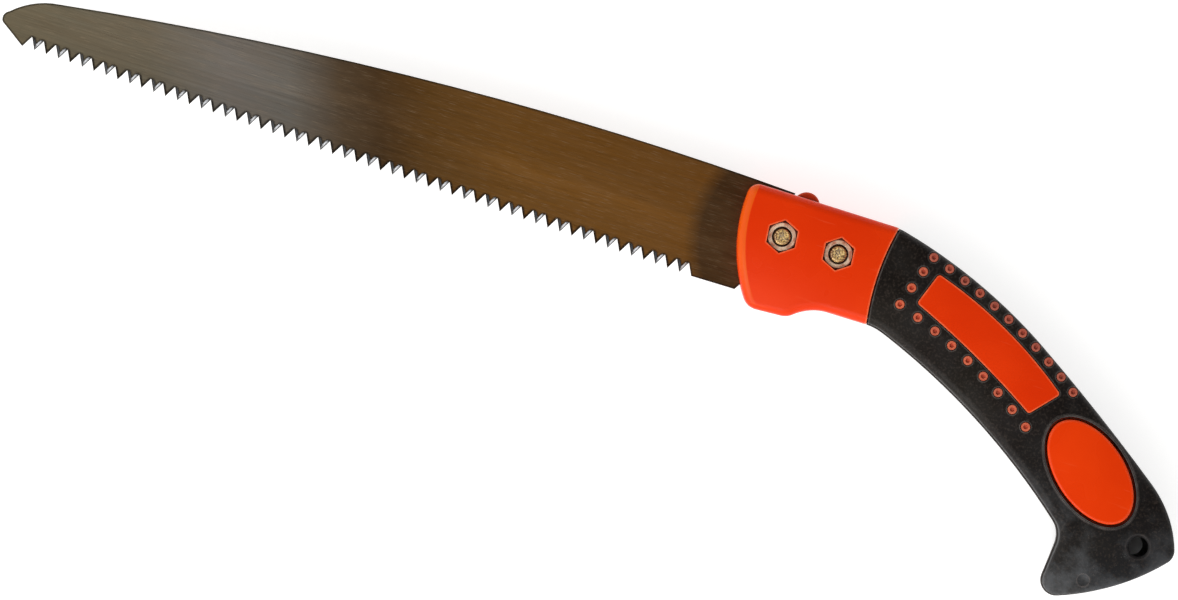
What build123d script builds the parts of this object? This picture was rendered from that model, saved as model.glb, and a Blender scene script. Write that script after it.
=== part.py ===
from build123d import *
import os
from math import hypot, sqrt

# Curved pruning saw with a bolted, replaceable blade and a two-shell pistol grip.
# It is drawn lying on its side: X along the line of the two blade bolts (blade tip at -X,
# butt of the grip at +X), Y from the teeth to the spine, Z across the blade's thickness.
# While it is drawn, the front bolt is at X = Y = 0 and the blade's mid-plane is Z = 0.
# "left" is the side of the nuts (+Z), "right" is the side of the bolt heads (-Z).
# All sizes are in millimetres.

# ---- blade ----
BLADE_THICKNESS = 1.3
TOOTH_COUNT = 56
TOOTH_DEPTH = 4.2
FIRST_TIP = (-277.4, -15.2)
HEEL_FRONT = (-26.4, -22.7)
TOOTH_LINE_BOW = 0.6
BEVEL_SHARE = 0.53
TANG_HOLE_RADIUS = 3.1
SPINE_END = (0.2, 16.3)

# ---- handle body ----
GRIP_CENTRE = (-44.0, -266.0)
GRIP_RADIUS = 277.0
HALF_THICKNESS = 13.0
CROWN_RADIUS = 110.0
EDGE_ROUND = 3.5
BEAD_PROUD = 0.5
BEAD_HALF_HEIGHT = 1.0
SKIN = 2.0
SKIN_GAP = 0.05
GROOVE = 0.6
CORE_WALL = 2.6
BLOCK_HEIGHT = 20.0

# ---- bolts through the tang ----
BOLTS = {"front": (0.0, 0.0), "rear": (20.8, 0.0)}
BOLT_RADIUS = 2.95
BOLT_HOLE_RADIUS = 3.2
CLAMP_SEAT = 6.5
NUT_TURN = 35.5
NUT_FLATS = 9.9
NUT_HEIGHT = 5.0
NUT_BORE_RADIUS = 3.05
NUT_POCKET_FLATS = 10.2
WASHER_RADIUS = 6.0
WASHER_HOLE_RADIUS = 3.2
WASHER_THICKNESS = 1.6
BOLT_HEAD_RADIUS = 5.0
BOLT_HEAD_HEIGHT = 4.0
BOLT_LENGTH = 20.0
COUNTERBORE_RADIUS = 6.3

# ---- sprung scabbard catch ----
CATCH_MIDDLE = 5.2
CATCH_HALF_LENGTH = 4.2
CATCH_HALF_WIDTH = 3.5
CATCH_FOOT_HALF_WIDTH = 5.0
CATCH_FOOT_BOTTOM = 11.4
CATCH_FOOT_TOP = 13.3
CATCH_HUMP_TOP = 18.0
CATCH_CLEARANCE = 0.3
HEAD_TOP = 15.5
POCKET_FLOOR = 7.4
SPRING_SEAT_TOP = 15.0
SPRING_SEAT_RADIUS = 2.45
SPRING_RADIUS = 1.85
SPRING_WIRE_RADIUS = 0.22
SPRING_TURNS = 5.5

# ---- raised details of the grip ----
PANEL_PROUD = 0.35
PANEL_CORNER = 1.2
STUD_RADIUS = 1.6
STUD_DIMPLE_RADIUS = 0.8
STUD_DIMPLE_DEPTH = 0.7
STUD_PROUD = 0.3
WINDOW_GAP = 0.25
DETAIL_BASE = 9.2
STUD_BASE = 8.0
BADGE_CENTRE = (128.6, -47.1)
BADGE_TURN = -39.1
BADGE_SIZE = (20.8, 12.1)
BADGE_PROUD = 0.8
BADGE_FLOOR = 9.5
BADGE_GROOVE = 1.0
RIM_WIDTH = 0.8
RIM_PROUD = 0.45

# ---- lanyard hole and the screws that hold the shells together ----
LANYARD_HOLE = (152.6, -67.3)
LANYARD_RADIUS = 3.5
LANYARD_COLLAR_RADIUS = 5.0
LANYARD_MOUTH = 12.0
DIMPLE = (137.2, -84.8)
DIMPLE_RADIUS = 4.0
DIMPLE_DEPTH = 0.7
SCREWS = ((43.0, -2.0), (128.6, -47.1), (136.5, -80.5))
SCREW_RADIUS = 1.7
SCREW_HEAD_RADIUS = 3.2
SCREW_HEAD_HEIGHT = 2.4
SCREW_LENGTH = 13.0
SCREW_SEAT = 5.0
SCREW_BOSS_RADIUS = 4.0
CELL_COUNT = 5
CELL_INNER = 266.5
CELL_OUTER = 287.0
CELL_START = 69.5
CELL_END = 49.5
CELL_RIB = 0.5


def disc(point, radius, low, high):
    """Upright cylinder over a point of the side view, from one height to another."""
    return Pos(point[0], point[1], (low + high) / 2) * Cylinder(radius, high - low)


def slab(face, low, high):
    """A flat outline of the side view, raised from one height to another."""
    return Pos(0, 0, low) * extrude(face, amount=high - low)


def fillet_corners(face, corners):
    """Rounds named corners of an outline."""
    for corner, radius in corners:
        face = fillet([face.vertices().sort_by_distance(corner)[0]], radius)
    return face


# ---------------------------------------------------------------- handle body


def handle_outline():
    """Side outline of the whole handle: head, finger notch, curved grip and hooked butt."""
    front_top = (-15.8, HEAD_TOP)
    head_rear = (39.5, HEAD_TOP - 0.2)
    back_middle = (100.8, -10.0)
    back_rear = (151.9, -45.0)
    butt_top = (166.8, -67.6)
    hook_tip = (123.0, -95.0)
    hook_root = (125.3, -70.5)
    belly_front = (41.0, -20.7)
    notch_rear = (24.0, -20.7)
    lobe_rear = (10.4, -26.6)
    lobe_front = (-4.2, -27.4)
    first_back = ThreePointArc(head_rear, (70.4, 5.6), back_middle)
    second_back = TangentArc(back_middle, back_rear, tangent=first_back % 1)
    edges = [
        Line(front_top, head_rear),
        first_back,
        second_back,
        TangentArc(back_rear, butt_top, tangent=second_back % 1),
        ThreePointArc(butt_top, (151.8, -81.6), hook_tip),
        Line(hook_tip, hook_root),
        ThreePointArc(hook_root, (85.4, -41.5), belly_front),
        Line(belly_front, notch_rear),
        TangentArc(notch_rear, lobe_rear, tangent=(-1, 0)),
        Line(lobe_rear, lobe_front),
        ThreePointArc(lobe_front, (-15.2, -4.0), front_top),
    ]
    corners = [
        (front_top, 4),
        (head_rear, 20),
        (butt_top, 5.5),
        (hook_tip, 5.5),
        (hook_root, 9),
        (belly_front, 20),
        (lobe_rear, 6),
        (lobe_front, 6),
    ]
    return fillet_corners(make_face(edges), corners)


def crown(inset):
    """Torus whose top is the crowned side of the handle, lowered by an inset."""
    middle = HALF_THICKNESS - CROWN_RADIUS
    return Pos(*GRIP_CENTRE, middle) * Torus(GRIP_RADIUS, CROWN_RADIUS - inset)


def crown_height(point):
    """Height of the handle's outer side over a point of the side view."""
    out = hypot(point[0] - GRIP_CENTRE[0], point[1] - GRIP_CENTRE[1]) - GRIP_RADIUS
    return HALF_THICKNESS - CROWN_RADIUS + sqrt(CROWN_RADIUS**2 - out**2)


def handle_body(inset):
    """Left half of the handle, with its whole surface moved inwards by an inset."""
    side = handle_outline()
    if inset:
        side = offset(side, -inset)
    body = slab(side, 0, BLOCK_HEIGHT) & crown(inset)
    return fillet(body.faces().sort_by(Axis.Z)[-1].edges(), EDGE_ROUND - inset)


def grip_zone(gap):
    """Everything behind the curved line where the head ends and the black skin begins."""
    edges = [
        ThreePointArc((41.6 + gap, 25.0), (36.2 + gap, -4.5), (40.4 + gap, -32.0)),
        Line((40.4 + gap, -32.0), (60.0, -110.0)),
        Line((60.0, -110.0), (180.0, -110.0)),
        Line((180.0, -110.0), (180.0, 25.0)),
        Line((180.0, 25.0), (41.6 + gap, 25.0)),
    ]
    return slab(make_face(edges), -1, BLOCK_HEIGHT + 1)


def panel_outline(gap):
    """Curved four-sided panel with rounded corners in the middle of the grip."""
    corners = [(56.8, 3.8), (52.4, -8.3), (101.6, -33.9), (110.4, -24.1)]
    edges = [
        Line(corners[0], corners[1]),
        ThreePointArc(corners[1], (78.2, -20.4), corners[2]),
        Line(corners[2], corners[3]),
        ThreePointArc(corners[3], (84.6, -7.5), corners[0]),
    ]
    face = fillet(make_face(edges).vertices(), PANEL_CORNER)
    return offset(face, gap) if gap else face


def row_on_arc(start, end, centre, count):
    """Evenly spaced points on the arc about a centre, from one point to another."""
    first = Vector(start[0] - centre[0], start[1] - centre[1])
    last = Vector(end[0] - centre[0], end[1] - centre[1])
    turn = -first.get_angle(last) / (count - 1)
    steps = [first.rotate(Axis.Z, turn * step) for step in range(count)]
    return [(centre[0] + step.X, centre[1] + step.Y) for step in steps]


def stud_points():
    """Centres of the studs that frame the panel: two curved rows and a short column."""
    upper = row_on_arc((53.4, 8.9), (114.5, -21.9), (-12.2, -196.5), 11)
    lower = row_on_arc((46.8, -10.5), (102.0, -38.7), (-10.7, -191.3), 9)
    return upper + [(51.3, 3.0), (49.0, -3.7)] + lower


def badge_outline(gap):
    """The oval of the badge, widened by a gap."""
    oval = Ellipse(BADGE_SIZE[0] + gap, BADGE_SIZE[1] + gap)
    return Pos(*BADGE_CENTRE) * Rot(0, 0, BADGE_TURN) * oval


# ---------------------------------------------------------------- blade


def tooth_frame():
    """Unit vectors along the tooth line and away from the blade, and the line's length."""
    run = (HEEL_FRONT[0] - FIRST_TIP[0], HEEL_FRONT[1] - FIRST_TIP[1])
    length = hypot(*run)
    along = (run[0] / length, run[1] / length)
    return along, (along[1], -along[0]), length


def tooth_line_point(share, depth):
    """Point at a share of the slightly bowed tooth line, set back into the blade."""
    along, out, length = tooth_frame()
    rise = 4 * TOOTH_LINE_BOW * share * (1 - share) - depth
    x = FIRST_TIP[0] + along[0] * length * share + out[0] * rise
    y = FIRST_TIP[1] + along[1] * length * share + out[1] * rise
    return x, y


def tooth_roots():
    """Bottoms of the gullets, midway between neighbouring tips."""
    return [tooth_line_point((k + 0.5) / TOOTH_COUNT, TOOTH_DEPTH) for k in range(TOOTH_COUNT)]


def tang_edges():
    """Rear part of the blade's outline, from the spine round the tang to the heel."""
    step = (SPINE_END[0], POCKET_FLOOR - 0.1)
    return [
        Line(SPINE_END, step),
        Line(step, (24.5, POCKET_FLOOR - 0.1)),
        ThreePointArc((24.5, POCKET_FLOOR - 0.1), (31.2, -1.0), (24.5, -9.3)),
        Line((24.5, -9.3), (2.0, -11.0)),
        ThreePointArc((2.0, -11.0), (-4.6, -13.6), (-8.4, -19.4)),
        Line((-8.4, -19.4), (-10.4, -22.6)),
    ]


def blade_profile():
    """Blade without its teeth: nose, arched spine, tang, heel and the line of gullets."""
    roots = tooth_roots()
    nose_under = (-286.5, -9.0)
    nose_top = (-268.9, 2.8)
    spine_front = ThreePointArc(nose_top, (-191.0, 12.0), (-109.8, 17.1))
    spine_rear = TangentArc((-109.8, 17.1), SPINE_END, tangent=spine_front % 1)
    edges = [
        Line(FIRST_TIP, nose_under),
        ThreePointArc(nose_under, (-287.0, -6.9), (-285.4, -4.8)),
        ThreePointArc((-285.4, -4.8), (-279.0, -0.2), nose_top),
        spine_front,
        spine_rear,
        *tang_edges(),
        Line((-10.4, -22.6), HEEL_FRONT),
        Line(HEEL_FRONT, roots[-1]),
        *[Line(roots[k], roots[k - 1]) for k in range(TOOTH_COUNT - 1, 0, -1)],
        Line(roots[0], FIRST_TIP),
    ]
    return make_face(edges)


def solid_between(near, far):
    """Flat-faced solid between two polygons with matching corners."""
    faces = [Face(Wire.make_polygon(near)), Face(Wire.make_polygon(far))]
    for k in range(len(near)):
        faces.append(Face(Wire.make_polygon([near[k - 1], near[k], far[k], far[k - 1]])))
    return Solid(Shell(faces))


def tooth(front_root, tip, rear_root, side):
    """One tooth with both flanks ground to a bevel from one side of the blade."""
    middle = ((front_root[0] + rear_root[0]) / 2, (front_root[1] + rear_root[1]) / 2)
    top = side * BLADE_THICKNESS / 2
    keep = 1 - BEVEL_SHARE
    near = []
    far = []
    for x, y in (front_root, tip, rear_root):
        near.append((middle[0] + keep * (x - middle[0]), middle[1] + keep * (y - middle[1]), top))
        far.append((x, y, -top))
    return solid_between(near, far)


def make_blade():
    """Steel blade with bevelled teeth and two holes in its tang."""
    half = BLADE_THICKNESS / 2
    roots = tooth_roots()
    teeth = []
    for k in range(1, TOOTH_COUNT):
        tip = tooth_line_point(k / TOOTH_COUNT, 0)
        teeth.append(tooth(roots[k - 1], tip, roots[k], 1 if k % 2 else -1))
    blade = slab(blade_profile(), -half, half).solid().fuse(*teeth)
    for centre in BOLTS.values():
        blade = blade - disc(centre, TANG_HOLE_RADIUS, -half, half)
    return blade.solid()


def tang_recess():
    """Room for the tang between the shells, open at the front and the top of the head."""
    edges = [
        Line((-40.0, 20.0), (SPINE_END[0], 20.0)),
        Line((SPINE_END[0], 20.0), SPINE_END),
        *tang_edges(),
        Line((-10.4, -22.6), (-40.0, -22.6)),
        Line((-40.0, -22.6), (-40.0, 20.0)),
    ]
    outline = offset(make_face(edges), 0.15, kind=Kind.INTERSECTION)
    return slab(outline, -1, BLADE_THICKNESS / 2)


# ---------------------------------------------------------------- hard shells


def grip_cells():
    """Hollows inside a shell behind the head, parted by ribs, with a solid screw boss."""
    step = (CELL_START - CELL_END) / CELL_COUNT
    cells = []
    for k in range(CELL_COUNT):
        start = CELL_START - step * k - CELL_RIB / 2
        end = CELL_START - step * (k + 1) + CELL_RIB / 2
        inner = [Vector(CELL_INNER, 0).rotate(Axis.Z, turn) for turn in (start, end)]
        outer = [Vector(CELL_OUTER, 0).rotate(Axis.Z, turn) for turn in (start, end)]
        face = Face(Wire.make_polygon([inner[0], outer[0], outer[1], inner[1]]))
        cells.append(Pos(*GRIP_CENTRE, -1) * extrude(face, amount=BLOCK_HEIGHT))
    hollow = cells[0].fuse(*cells[1:]) & crown(SKIN + SKIN_GAP + CORE_WALL)
    for point in SCREWS:
        hollow = hollow - disc(point, SCREW_BOSS_RADIUS, -2, BLOCK_HEIGHT)
    return hollow


def catch_pocket():
    """Half of the pocket in the head's top that guides the scabbard catch."""
    length = 2 * (CATCH_HALF_LENGTH + CATCH_CLEARANCE)
    foot_width = 2 * (CATCH_FOOT_HALF_WIDTH + CATCH_CLEARANCE)
    slot_width = 2 * (CATCH_HALF_WIDTH + CATCH_CLEARANCE)
    ceiling = CATCH_FOOT_TOP + SKIN_GAP
    deep = ceiling - POCKET_FLOOR
    foot = Pos(CATCH_MIDDLE, POCKET_FLOOR + deep / 2, 0) * Box(length, deep, foot_width)
    slot = Pos(CATCH_MIDDLE, ceiling + 2, 0) * Box(length, 4.2, slot_width)
    return foot + slot


def raised_details():
    """Panel and dimpled studs of the hard shell that show through the skin."""
    panel = slab(panel_outline(0), DETAIL_BASE, BLOCK_HEIGHT) & handle_body(-PANEL_PROUD)
    posts = [disc(point, STUD_RADIUS, STUD_BASE, BLOCK_HEIGHT) for point in stud_points()]
    studs = handle_body(-STUD_PROUD) & Compound(children=posts)
    dimples = []
    for point in stud_points():
        floor = crown_height(point) + STUD_PROUD - STUD_DIMPLE_DEPTH
        dimples.append(disc(point, STUD_DIMPLE_RADIUS, floor, BLOCK_HEIGHT))
    return panel, studs - dimples


def plain_core():
    """Left hard shell before the holes that differ from side to side."""
    head = handle_body(0) - grip_zone(0)
    panel, studs = raised_details()
    core = handle_body(SKIN + SKIN_GAP) + head + panel + studs
    core = core - grip_cells()
    core = core - tang_recess()
    core = core - catch_pocket()
    core = core - slab(badge_outline(WINDOW_GAP), BADGE_FLOOR, BLOCK_HEIGHT)
    core = core - disc(LANYARD_HOLE, LANYARD_COLLAR_RADIUS + SKIN_GAP, -1, BLOCK_HEIGHT)
    for centre in BOLTS.values():
        core = core - disc(centre, BOLT_HOLE_RADIUS, -1, BLOCK_HEIGHT)
    return core


def hexagon(flats):
    """Hexagon of a given width across flats, turned as the nuts sit in the head."""
    return Rot(0, 0, NUT_TURN) * RegularPolygon(flats / sqrt(3), 6)


def make_core_left():
    """Hard shell on the nut side, with hexagonal pockets and blind screw holes."""
    core = plain_core()
    for centre in BOLTS.values():
        core = core - slab(Pos(*centre) * hexagon(NUT_POCKET_FLATS), CLAMP_SEAT, BLOCK_HEIGHT)
    for point in SCREWS:
        core = core - disc(point, SCREW_RADIUS + 0.02, -1, SCREW_LENGTH - SCREW_SEAT + 0.3)
    return core.solid()


def make_core_right():
    """Hard shell on the bolt-head side, with round counterbores."""
    core = plain_core()
    for centre in BOLTS.values():
        core = core - disc(centre, COUNTERBORE_RADIUS, CLAMP_SEAT, BLOCK_HEIGHT)
    for point in SCREWS:
        core = core - disc(point, SCREW_RADIUS + 0.15, -1, BLOCK_HEIGHT)
        core = core - disc(point, SCREW_HEAD_RADIUS + 0.4, SCREW_SEAT, BLOCK_HEIGHT)
    return mirror(core, about=Plane.XY).solid()


# ---------------------------------------------------------------- soft skins


def skinned_body():
    """Left half of the skinned grip: its wall stands back from the bead along the parting line."""
    wall = slab(offset(handle_outline(), -BEAD_PROUD), 0, BLOCK_HEIGHT) & crown(0)
    body = fillet(wall.faces().sort_by(Axis.Z)[-1].edges(), EDGE_ROUND - BEAD_PROUD)
    return body + slab(handle_outline(), 0, BEAD_HALF_HEIGHT)


def plain_skin():
    """Left moulded skin: covers the grip and its edges, with windows and an oval rim."""
    window = badge_outline(BADGE_GROOVE)
    rim = slab(badge_outline(BADGE_GROOVE + RIM_WIDTH), BADGE_FLOOR, BLOCK_HEIGHT)
    skin = (skinned_body() & grip_zone(GROOVE)) + (handle_body(-RIM_PROUD) & rim)
    skin = skin - handle_body(SKIN)
    skin = skin - slab(window, BADGE_FLOOR - 4, BLOCK_HEIGHT)
    skin = skin - slab(panel_outline(WINDOW_GAP), DETAIL_BASE - 1, BLOCK_HEIGHT)
    holes = [
        disc(point, STUD_RADIUS + WINDOW_GAP, STUD_BASE - 0.1, BLOCK_HEIGHT)
        for point in stud_points()
    ]
    skin = skin - holes
    collar = disc(LANYARD_HOLE, LANYARD_COLLAR_RADIUS, 0, HALF_THICKNESS - SKIN / 2)
    skin = skin + collar
    skin = skin - disc(LANYARD_HOLE, LANYARD_RADIUS, -1, BLOCK_HEIGHT)
    mouth = Pos(*LANYARD_HOLE, LANYARD_MOUTH + 1) * Cone(LANYARD_RADIUS, LANYARD_RADIUS + 2, 2)
    ball = Pos(*DIMPLE, crown_height(DIMPLE) - DIMPLE_DEPTH + DIMPLE_RADIUS) * Sphere(DIMPLE_RADIUS)
    return skin - mouth - ball


def make_grip_left():
    """Black skin on the nut side."""
    return plain_skin().solid()


def make_grip_right():
    """Black skin on the bolt-head side, with openings for the two screws outside the badge."""
    skin = plain_skin()
    for point in SCREWS[::2]:
        skin = skin - disc(point, SCREW_HEAD_RADIUS + 0.4, SCREW_SEAT, BLOCK_HEIGHT)
    return mirror(skin, about=Plane.XY).solid()


def make_badge():
    """Domed oval inlay that sits in the skin's rim on the left side."""
    body = slab(badge_outline(0), BADGE_FLOOR, BLOCK_HEIGHT) & handle_body(-BADGE_PROUD)
    return fillet(body.faces().sort_by(Axis.Z)[-1].edges(), 0.9)


# ---------------------------------------------------------------- fasteners


def make_bolt(centre):
    """M6 x 20 low-head socket screw, its head on the right side."""
    seat = -CLAMP_SEAT - WASHER_THICKNESS
    head = disc((0, 0), BOLT_HEAD_RADIUS, seat - BOLT_HEAD_HEIGHT, seat)
    head = fillet(head.faces().sort_by(Axis.Z)[0].edges(), 0.6)
    shank = disc((0, 0), BOLT_RADIUS, seat, seat + BOLT_LENGTH)
    shank = chamfer(shank.faces().sort_by(Axis.Z)[-1].edges(), 0.5)
    socket_bottom = seat - BOLT_HEAD_HEIGHT
    socket = slab(RegularPolygon(2.35, 6), socket_bottom - 1, socket_bottom + 2.3)
    return Pos(*centre) * (head + shank - socket)


def make_nut(centre):
    """M6 hexagon nut with turned corners and a countersunk bore."""
    low, high = CLAMP_SEAT, CLAMP_SEAT + NUT_HEIGHT
    nut = slab(hexagon(NUT_FLATS), low, high)
    turned = disc((0, 0), NUT_FLATS / sqrt(3), low, high)
    turned = chamfer(turned.faces().filter_by(GeomType.PLANE).edges(), 0.5, 0.85)
    nut = (nut & turned) - disc((0, 0), NUT_BORE_RADIUS, low - 1, high + 1)
    sink = Pos(0, 0, high - 0.3) * Cone(NUT_BORE_RADIUS, NUT_BORE_RADIUS + 0.6, 0.6)
    return Pos(*centre) * (nut - sink)


def make_washer(centre):
    """Plain washer under a bolt head."""
    low = -CLAMP_SEAT - WASHER_THICKNESS
    ring = disc(centre, WASHER_RADIUS, low, -CLAMP_SEAT)
    return ring - disc(centre, WASHER_HOLE_RADIUS, low - 1, -CLAMP_SEAT + 1)


def make_screw(point):
    """Self-tapping screw, its pan head on the right side."""
    head = disc((0, 0), SCREW_HEAD_RADIUS, -SCREW_SEAT - SCREW_HEAD_HEIGHT, -SCREW_SEAT)
    head = fillet(head.faces().sort_by(Axis.Z)[0].edges(), 1.1)
    bottom = -SCREW_SEAT - SCREW_HEAD_HEIGHT
    arm = Pos(0, 0, bottom + 0.5) * Box(3.6, 0.8, 2.4)
    cross = arm + Rot(0, 0, 90) * arm
    shank = disc((0, 0), SCREW_RADIUS, -SCREW_SEAT, SCREW_LENGTH - SCREW_SEAT)
    shank = chamfer(shank.faces().sort_by(Axis.Z)[-1].edges(), 1.2)
    return Pos(*point) * (head + shank - cross)


def make_grip_screws():
    """The three equal screws that hold the shells together behind the head."""
    return Compound(children=[make_screw(point).solid() for point in SCREWS])


# ---------------------------------------------------------------- scabbard catch


def make_catch():
    """Sprung hump on the head's top that snaps into the scabbard, with its wider foot."""
    front = CATCH_MIDDLE - CATCH_HALF_LENGTH
    rear = CATCH_MIDDLE + CATCH_HALF_LENGTH
    shoulder = HEAD_TOP - 0.1
    edges = [
        Line((front, CATCH_FOOT_BOTTOM), (front, shoulder)),
        ThreePointArc((front, shoulder), (CATCH_MIDDLE, CATCH_HUMP_TOP), (rear, shoulder)),
        Line((rear, shoulder), (rear, CATCH_FOOT_BOTTOM)),
        Line((rear, CATCH_FOOT_BOTTOM), (front, CATCH_FOOT_BOTTOM)),
    ]
    body = slab(make_face(edges), -CATCH_HALF_WIDTH, CATCH_HALF_WIDTH)
    hump = body.edges().filter_by(GeomType.CIRCLE)
    body = fillet(hump, 0.8)
    foot_height = CATCH_FOOT_TOP - CATCH_FOOT_BOTTOM
    foot_middle = CATCH_FOOT_BOTTOM + foot_height / 2
    foot = Box(2 * CATCH_HALF_LENGTH, foot_height, 2 * CATCH_FOOT_HALF_WIDTH)
    body = body + Pos(CATCH_MIDDLE, foot_middle, 0) * foot
    seat_depth = SPRING_SEAT_TOP - CATCH_FOOT_BOTTOM
    seat = Rot(90, 0, 0) * Cylinder(SPRING_SEAT_RADIUS, seat_depth)
    return body - Pos(CATCH_MIDDLE, CATCH_FOOT_BOTTOM + seat_depth / 2, 0) * seat


def make_catch_spring():
    """Small coil spring between the pocket's floor and the catch."""
    height = SPRING_SEAT_TOP - POCKET_FLOOR - 2 * SPRING_WIRE_RADIUS
    path = Helix(height / SPRING_TURNS, height, SPRING_RADIUS)
    ring = Plane(origin=path @ 0, z_dir=path % 0) * Circle(SPRING_WIRE_RADIUS)
    coil = sweep(ring, path=path, is_frenet=True)
    lift = POCKET_FLOOR + SPRING_WIRE_RADIUS
    return Pos(CATCH_MIDDLE, lift, 0) * Rot(-90, 0, 0) * coil


# ---------------------------------------------------------------- assembly


def make_parts():
    """Every piece by name, in the drawing frame."""
    badge = make_badge()
    parts = {
        "blade": make_blade(),
        "core_left": make_core_left(),
        "core_right": make_core_right(),
        "grip_left": make_grip_left(),
        "grip_right": make_grip_right(),
        "badge_left": badge,
        "badge_right": mirror(badge, about=Plane.XY),
        "grip_screws": make_grip_screws(),
        "scabbard_catch": make_catch(),
        "catch_spring": make_catch_spring(),
    }
    for place, centre in BOLTS.items():
        parts[place + "_bolt"] = make_bolt(centre)
        parts[place + "_nut"] = make_nut(centre)
        parts[place + "_washer"] = make_washer(centre)
    return parts


def main():
    """Writes every piece with the origin under the middle of the saw as it lies."""
    parts = make_parts()
    boxes = [part.bounding_box() for part in parts.values()]
    low = [min(getattr(box.min, axis) for box in boxes) for axis in "XYZ"]
    high = [max(getattr(box.max, axis) for box in boxes) for axis in "XYZ"]
    shift = Pos(-(low[0] + high[0]) / 2, -(low[1] + high[1]) / 2, -low[2])
    os.makedirs("parts", exist_ok=True)
    for name, part in parts.items():
        export_step(shift * part, f"parts/{name}.step")
    print("front bolt at", shift.position)
    print("size", [round(top - bottom, 2) for top, bottom in zip(high, low)])


main()
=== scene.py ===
import math
import random

import bpy
from mathutils import Matrix, Vector


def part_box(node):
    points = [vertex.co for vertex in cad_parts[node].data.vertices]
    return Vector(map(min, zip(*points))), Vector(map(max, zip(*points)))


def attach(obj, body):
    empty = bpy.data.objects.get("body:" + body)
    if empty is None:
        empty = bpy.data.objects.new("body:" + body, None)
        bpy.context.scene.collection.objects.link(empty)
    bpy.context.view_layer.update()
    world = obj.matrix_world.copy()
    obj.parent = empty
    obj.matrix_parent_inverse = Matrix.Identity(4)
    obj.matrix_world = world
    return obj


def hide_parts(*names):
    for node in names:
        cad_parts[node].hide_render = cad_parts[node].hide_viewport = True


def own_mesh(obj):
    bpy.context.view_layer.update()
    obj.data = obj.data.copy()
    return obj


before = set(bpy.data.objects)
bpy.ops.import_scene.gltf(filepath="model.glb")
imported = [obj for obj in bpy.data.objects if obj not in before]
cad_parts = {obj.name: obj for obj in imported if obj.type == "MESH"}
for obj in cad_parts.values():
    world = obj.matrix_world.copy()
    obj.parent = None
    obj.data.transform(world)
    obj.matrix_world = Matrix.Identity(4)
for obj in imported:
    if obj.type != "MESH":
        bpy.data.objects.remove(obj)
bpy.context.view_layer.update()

# Looks of the curved pruning saw. The saw lies on its bolt-head side with its nuts up.
# Lengths of details are in millimetres, in the same drawing frame as the CAD model: the front
# bolt is at x = y = 0 and the blade's mid-plane is z = 0. at() turns them into the frame's metres.

MM = 0.001

bolt_low, bolt_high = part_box("front_bolt")
blade_low, blade_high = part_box("blade")
FRONT_BOLT = Vector((
    (bolt_low.x + bolt_high.x) / 2,
    (bolt_low.y + bolt_high.y) / 2,
    (blade_low.z + blade_high.z) / 2,
))


def at(x, y, z=0.0):
    """A point of the drawing frame, in millimetres, as a point of the row frame in metres."""
    return FRONT_BOLT + Vector((x, y, z)) * MM


# ---------------------------------------------------------------- camera, floor and light

# The view, the lens and the sensor are in millimetres. The clip range, the lights and the floor are in
# metres, and the lights' power is in watts.
VIEW_CENTRE = (-58.5, -41.6)
VIEW_TURN = math.radians(17.26)
VIEW_WIDTH = 418.2
LENS = 200.0
SENSOR = 36.0
CLIP_RANGE = (0.05, 50.0)
CEILING_AXIS = (0.18, 0.42, 1.0)
CEILING_FADE = (0.52, 0.84)
WALL_TO_CEILING = (1.5, 0.22)
ROOM_COLOUR = (1.0, 0.99, 0.97, 1.0)
KEY_LIGHT = {
    "place": (-0.55, -1.35, 1.05),
    "aim": (0.02, 0.0, 0.0),
    "size": 1.1,
    "power": 18.0,
    "colour": (1.0, 0.985, 0.96),
}
FILL_LIGHT = {
    "place": (0.9, 1.3, 1.0),
    "aim": (0.0, 0.0, 0.0),
    "size": 0.9,
    "power": 0.8,
    "colour": (0.94, 0.97, 1.0),
}
FLOOR_FLAT_RINGS = (0.0, 1.0, 3.0, 6.0)
FLOOR_BEND = 2.5
FLOOR_BEND_STEPS = 8
FLOOR_SPOKES = 48
FLOOR_GAP = 0.0002
FLOOR_GLOW = 0.70
# The floor glows less where pieces within FLOOR_SHADE hide the room from it: in full at the second open
# share, and not at all at the first.
FLOOR_SHADE = 0.03
FLOOR_SHADE_SAMPLES = 16
FLOOR_SHADE_FADE = (0.12, 0.45)


def make_camera():
    """Looks straight down on the saw, turned so that the blade rises to the left."""
    data = bpy.data.cameras.new("camera")
    data.lens = LENS
    data.sensor_width = SENSOR
    data.clip_start, data.clip_end = CLIP_RANGE
    camera = bpy.data.objects.new("camera", data)
    bpy.context.scene.collection.objects.link(camera)
    distance = VIEW_WIDTH * MM * LENS / SENSOR
    right = Vector((math.cos(VIEW_TURN), math.sin(VIEW_TURN), 0.0))
    up = Vector((-math.sin(VIEW_TURN), math.cos(VIEW_TURN), 0.0))
    turn = Matrix((right, up, right.cross(up))).transposed().to_4x4()
    camera.matrix_world = Matrix.Translation(at(*VIEW_CENTRE) + Vector((0, 0, distance))) @ turn
    bpy.context.scene.camera = camera


def make_softbox(name, place, aim, size, power, colour):
    """Square soft light that the camera doesn't see."""
    data = bpy.data.lights.new(name, "AREA")
    data.shape = "SQUARE"
    data.size = size
    data.energy = power
    data.color = colour
    light = bpy.data.objects.new(name, data)
    bpy.context.scene.collection.objects.link(light)
    light.location = place
    light.rotation_mode = "QUATERNION"
    light.rotation_quaternion = (Vector(aim) - Vector(place)).to_track_quat("-Z", "Y")
    light.visible_camera = False


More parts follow.
